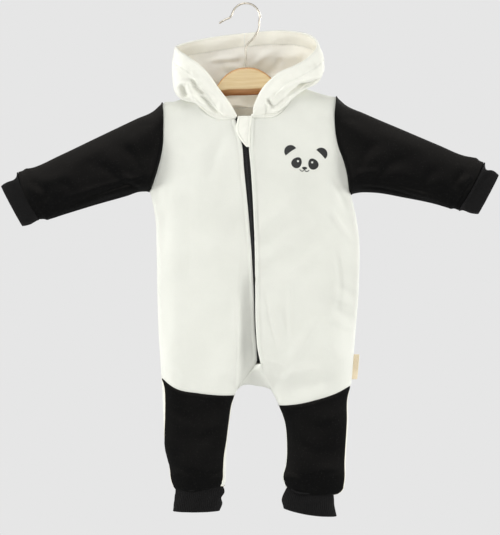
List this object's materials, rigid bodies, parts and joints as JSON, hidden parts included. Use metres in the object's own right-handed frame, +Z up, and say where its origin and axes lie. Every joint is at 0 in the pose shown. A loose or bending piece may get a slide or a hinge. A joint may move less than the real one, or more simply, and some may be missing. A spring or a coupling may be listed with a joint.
{
  "type": "panda onesie on a wooden hanger",
  "caption": "Baby's hooded zip onesie, white body with black sleeves and leg fronts, hung open at neck, cuffs and ankles on a wooden hanger with a steel hook.",
  "frame": {"origin": "inside top of the hook's crook, where it rests on a rail or knob", "axes": "+Z up along the hanging garment, -Y out of the front with the zip, +X towards the wearer's left sleeve"},
  "size_m": [0.6914, 0.0886, 0.7147],
  "materials": {
    "white_knit": "warm white sweatshirt knit, matt",
    "black_knit": "black sweatshirt knit, matt",
    "black_rib": "black rib knit",
    "lining": "cream jersey lining",
    "zip_tape": "black woven zip tape with a moulded chain",
    "label": "beige woven tape, bare",
    "wood": "light varnished wood",
    "steel": "polished steel"
  },
  "bodies": {
    "root": {"ankle_cuff_left": "black_rib", "ankle_cuff_right": "black_rib", "back": "white_knit", "chin_guard": "white_knit", "front_left": "white_knit", "front_right": "white_knit", "gusset": "white_knit", "hanger": "wood", "hood_left": "white_knit", "hood_lining_left": "lining", "hood_lining_right": "lining", "hood_right": "white_knit", "hook": "steel", "leg_front_left": "black_knit", "leg_front_right": "black_knit", "side_label": "label", "sleeve_cuff_left": "black_rib", "sleeve_cuff_right": "black_rib", "sleeve_left": "black_knit", "sleeve_right": "black_knit", "zip": "zip_tape", "zip_slider": "steel"}
  },
  "joints": []
}
